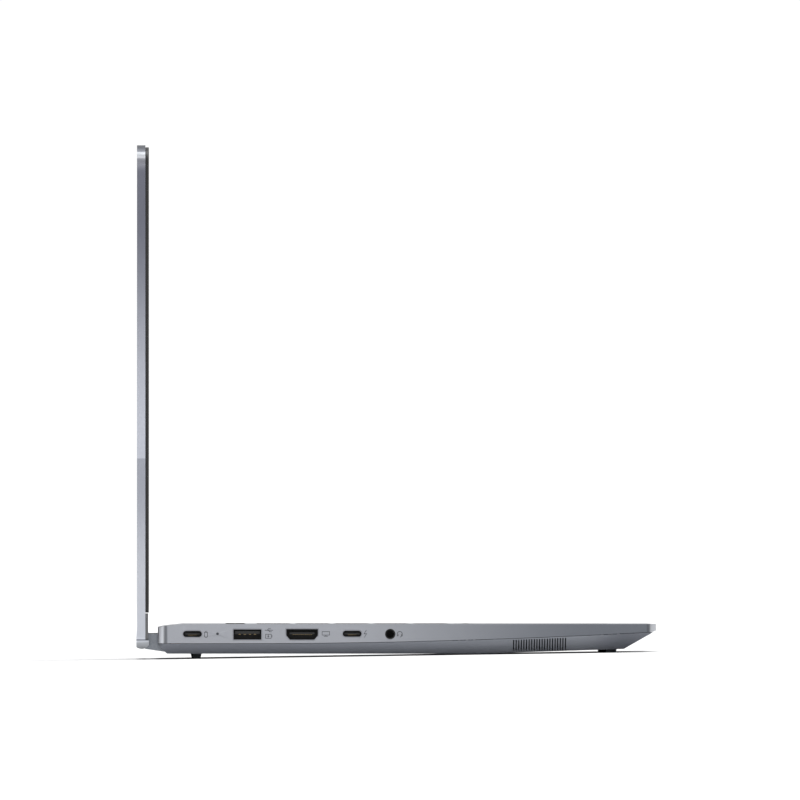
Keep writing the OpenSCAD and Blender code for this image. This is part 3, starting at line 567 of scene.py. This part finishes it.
# key legends, row by row: the letters, the width of one key in pitches, and how far the row stands up
pitch = 0.01905
legendLook = {"tall": 0.0046, "small": 0.0027, "lift": 0.00004, "halfGap": 0.0015, "margin": 0.002}
rows = {
    "function_keys": (["esc"] + ["F%d" % n for n in range(1, 13)] + ["ins", "prt", "del"], 15 / 16, 0.00012),
    "number_keys": (list("`1234567890-="), 1, 0),
    "upper_letter_keys": (list("QWERTYUIOP[]"), 1, 0),
    "home_letter_keys": (list("ASDFGHJKL;'"), 1, 0),
    "lower_letter_keys": (list("ZXCVBNM,./"), 1, 0)}
wideKeys = {"backspace_key": "back", "tab_key": "tab", "caps_key": "caps", "enter_key": "enter",
            "left_shift_key": "shift", "right_shift_key": "shift"}
# modifier keys, by how many pitches they start from the left; the space bar lies in the gap
modifiers = {0: "ctrl", 1: "fn", 2: "opt", 3: "alt", 9: "alt", 10: "ctrl", 11: "menu"}
arrowTurns = {"left_arrow_key": (-1, 0), "right_arrow_key": (1, 0), "up_arrow_key": (0, -1),
              "down_arrow_key": (0, 1)}
arrowShape = [(0.0011, 0), (-0.0008, 0.0011), (-0.0008, -0.0011)]
legendInk = inkFinish("legendInk", grey(0.55), grey(0.68), 0.2)


def letters(build, text, tall, x, u, w, align="CENTER"):
    curve = bpy.data.curves.new("legend", "FONT")
    curve.body = text
    curve.size = tall
    curve.resolution_u = 3
    curve.align_x = align
    curve.align_y = "CENTER"
    glyph = bpy.data.objects.new("legend", curve)
    scene.collection.objects.link(glyph)
    flat = bpy.data.meshes.new_from_object(glyph)
    base = len(build.verts)
    build.from_mesh(flat)
    build.verts.ensure_lookup_table()
    for v in build.verts[base:]:
        v.co = place(x + v.co.x, u - v.co.y, w)
    bpy.data.objects.remove(glyph)
    bpy.data.curves.remove(curve)
    bpy.data.meshes.remove(flat)


def rowMiddle(node):
    low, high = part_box(node)
    return ((Vector(low) + Vector(high)) / 2 - rearEdge).dot(forward)


def legendPiece(node, build, ending="_legend"):
    pieceOf(node + ending, build, legendInk, node)


def keyLegends():
    lift, small, halfGap = legendLook["lift"], legendLook["small"], legendLook["halfGap"]
    for row, (texts, wide, raised) in rows.items():
        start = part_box(row)[0][0] - halfGap
        build = bmesh.new()
        for i, text in enumerate(texts):
            tall = legendLook["tall"] if len(text) == 1 else small
            letters(build, text, tall, start + (i + 0.5) * wide * pitch, rowMiddle(row), raised + lift)
        legendPiece(row, build, "_legends")
    for key, text in wideKeys.items():
        build = bmesh.new()
        letters(build, text, small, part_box(key)[0][0] + legendLook["margin"], rowMiddle(key), lift, "LEFT")
        legendPiece(key, build)
    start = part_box("modifier_keys")[0][0] - halfGap
    build = bmesh.new()
    for i, text in modifiers.items():
        letters(build, text, small, start + (i + 0.5) * pitch, rowMiddle("modifier_keys"), lift)
    legendPiece("modifier_keys", build, "_legends")
    for key, (dx, du) in arrowTurns.items():
        low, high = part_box(key)
        x, u = (low[0] + high[0]) / 2, rowMiddle(key)
        build = bmesh.new()
        build.faces.new([build.verts.new(place(x + a * dx - b * du, u + a * du + b * dx, lift))
                         for a, b in arrowShape])
        legendPiece(key, build)


foamLook = {"outerX": (0.126, 0.140), "outerU": (0.1535, 0.1905), "wide": 0.0016, "top": -0.0087,
            "lowRear": -0.0118, "lowFront": -0.0105}


def speakerFoam():
    # a foam frame below each speaker, which closes the gap down to the belly
    build = bmesh.new()
    lows = [foamLook["lowRear"]] * 2 + [foamLook["lowFront"]] * 2
    for side in (-1, 1):
        loops = []
        for inset in (0, foamLook["wide"]):
            xs = [foamLook["outerX"][0] + inset, foamLook["outerX"][1] - inset]
            us = [foamLook["outerU"][0] + inset, foamLook["outerU"][1] - inset]
            around = [(xs[0], us[0]), (xs[1], us[0]), (xs[1], us[1]), (xs[0], us[1])]
            loops.append([build.verts.new(place(side * x, u, foamLook["top"])) for x, u in around])
            loops.append([build.verts.new(place(side * x, u, low)) for (x, u), low in zip(around, lows)])
        outTop, outLow, inTop, inLow = loops
        for i in range(4):
            j = (i + 1) % 4
            build.faces.new([outLow[i], outLow[j], outTop[j], outTop[i]])
            build.faces.new([inTop[i], inTop[j], inLow[j], inLow[i]])
            build.faces.new([outTop[i], outTop[j], inTop[j], inTop[i]])
            build.faces.new([inLow[i], inLow[j], outLow[j], outLow[i]])
    bmesh.ops.recalc_face_normals(build, faces=build.faces)
    pieceOf("speaker_foam", build, mouldedPlastic("speakerFoam", blackLook), "base")


lensLook = {"inset": 0.0006, "dome": 0.0003, "radius": 0.001, "widest": 80, "rings": 6, "around": 24,
            "coating": 900, "dark": rgb(0.01, 0.012, 0.03), "light": rgb(0.03, 0.015, 0.05), "rough": 0.05,
            "coatingRough": 0.05, "coat": 0.8}


def cameraLens():
    # a domed lens behind the sliding shutter
    low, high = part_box("camera_module")
    middle = Vector(((low[0] + high[0]) / 2, low[1] + lensLook["inset"], (low[2] + high[2]) / 2))
    build = bmesh.new()
    dome, radius, around = lensLook["dome"], lensLook["radius"], lensLook["around"]
    turns = [2 * math.pi * a / around for a in range(around)]
    tip = build.verts.new(middle + Vector((0, -dome, 0)))
    last = None
    for r in range(1, lensLook["rings"] + 1):
        angle = math.radians(lensLook["widest"] * r / lensLook["rings"])
        loop = [build.verts.new(middle + Vector((radius * math.sin(angle) * math.cos(turn),
                                                 -dome * math.cos(angle),
                                                 radius * math.sin(angle) * math.sin(turn))))
                for turn in turns]
        for a in range(around):
            b = (a + 1) % around
            build.faces.new([tip, loop[a], loop[b]] if last is None else [last[a], loop[a], loop[b], last[b]])
        last = loop
    for face in build.faces:
        face.smooth = True
    made = Finish("lensGlass")
    coating = made.noise(lensLook["coating"], 2.0, 0.5)
    glass = made.finish({"Base Color": made.tint(coating, lensLook["dark"], lensLook["light"]),
                         "Roughness": lensLook["rough"] + coating * lensLook["coatingRough"],
                         "Coat Weight": lensLook["coat"]})
    pieceOf("camera_lens", build, glass, "lid")


socketSigns()
socketContacts()
keyLegends()
speakerFoam()
cameraLens()
print("signs, contacts, legends, foam and lens are made")

# the camera looks at the left side, level with the screen face and a little above the deck
view = {"lens": 1400, "sensor": 36, "across": 0.3604, "middleU": 0.1090, "middleW": 0.1009,
        "screenFaceU": -0.0041, "raised": 0.0175, "nearest": 0.1, "farthest": 80}


def camera():
    data = bpy.data.cameras.new("camera")
    data.lens = view["lens"]
    data.sensor_width = view["sensor"]
    data.clip_start = view["nearest"]
    data.clip_end = view["farthest"]
    made = bpy.data.objects.new("camera", data)
    scene.collection.objects.link(made)
    distance = view["across"] * view["lens"] / view["sensor"]
    made.location = place(leftSide - distance, view["screenFaceU"], view["raised"])
    aim = place(leftSide, view["middleU"], view["middleW"]) - made.location
    back = -aim.normalized()
    right = up.cross(back).normalized()
    upright = back.cross(right)
    made.rotation_mode = "QUATERNION"
    made.rotation_quaternion = Matrix((right, upright, back)).transposed().to_quaternion()
    scene.camera = made


floorLook = {"reach": 40, "dark": grey(0.86), "light": grey(0.88), "mottle": 3, "rough": 0.9}


def floor():
    mesh = bpy.data.meshes.new("floor")
    build = bmesh.new()
    reach = floorLook["reach"]
    corners = ((-reach, -reach), (reach, -reach), (reach, reach), (-reach, reach))
    build.faces.new([build.verts.new((x, y, 0)) for x, y in corners])
    build.to_mesh(mesh)
    build.free()
    made = bpy.data.objects.new("floor", mesh)
    scene.collection.objects.link(made)
    pale = Finish("paleFloor")
    tone = pale.tint(pale.noise(floorLook["mottle"], 2.0, 0.5), floorLook["dark"], floorLook["light"])
    made.data.materials.append(pale.finish({"Base Color": tone, "Roughness": floorLook["rough"]}))


skyLook = {"open": 1.03, "band": 0.28, "camera": 0.85, "bandStart": -0.9, "bandEnd": -0.1, "bandTop": 0.6,
           "soft": 0.35, "startSofter": 0.6}


def sky(look):
    # a pale studio all round, dimmer in a broad ring on the laptop's left, so round edges catch light and dark
    world = bpy.data.worlds.new("studio")
    world.use_nodes = True
    studio = Graph(world.node_tree)
    direction = studio.node("ShaderNodeTexCoord", out="Generated")
    ahead = studio.node("ShaderNodeSeparateXYZ", None, {0: direction}, out="X")
    steep = studio.node("ShaderNodeSeparateXYZ", None, {0: direction}, out="Z")
    past = ahead.above(look["bandStart"], look["soft"] * look["startSofter"])
    dim = (1 - ahead.above(look["bandEnd"], look["soft"])) * past
    dim = dim * (1 - steep.above(look["bandTop"], look["soft"]))
    level = look["open"] - dim * (look["open"] - look["band"]) - (1 - past) * (look["open"] - look["camera"])
    glow = studio.node("ShaderNodeBackground", None, {"Color": rgb(1, 1, 1), "Strength": level})
    studio.node("ShaderNodeOutputWorld", None, {"Surface": glow})
    scene.world = world


sunLook = {"aim": (0.1, 0.05, -1), "strength": 1.6, "spread": 35}


def overheadLight(look):
    data = bpy.data.lights.new("overhead", "SUN")
    data.energy = look["strength"]
    data.angle = math.radians(look["spread"])
    made = bpy.data.objects.new("overhead", data)
    made.rotation_mode = "QUATERNION"
    made.rotation_quaternion = Vector(look["aim"]).to_track_quat("-Z", "Y")
    scene.collection.objects.link(made)


camera()
floor()
sky(skyLook)
overheadLight(sunLook)
scene.view_settings.view_transform = "Standard"
print("camera, floor and lights are set")
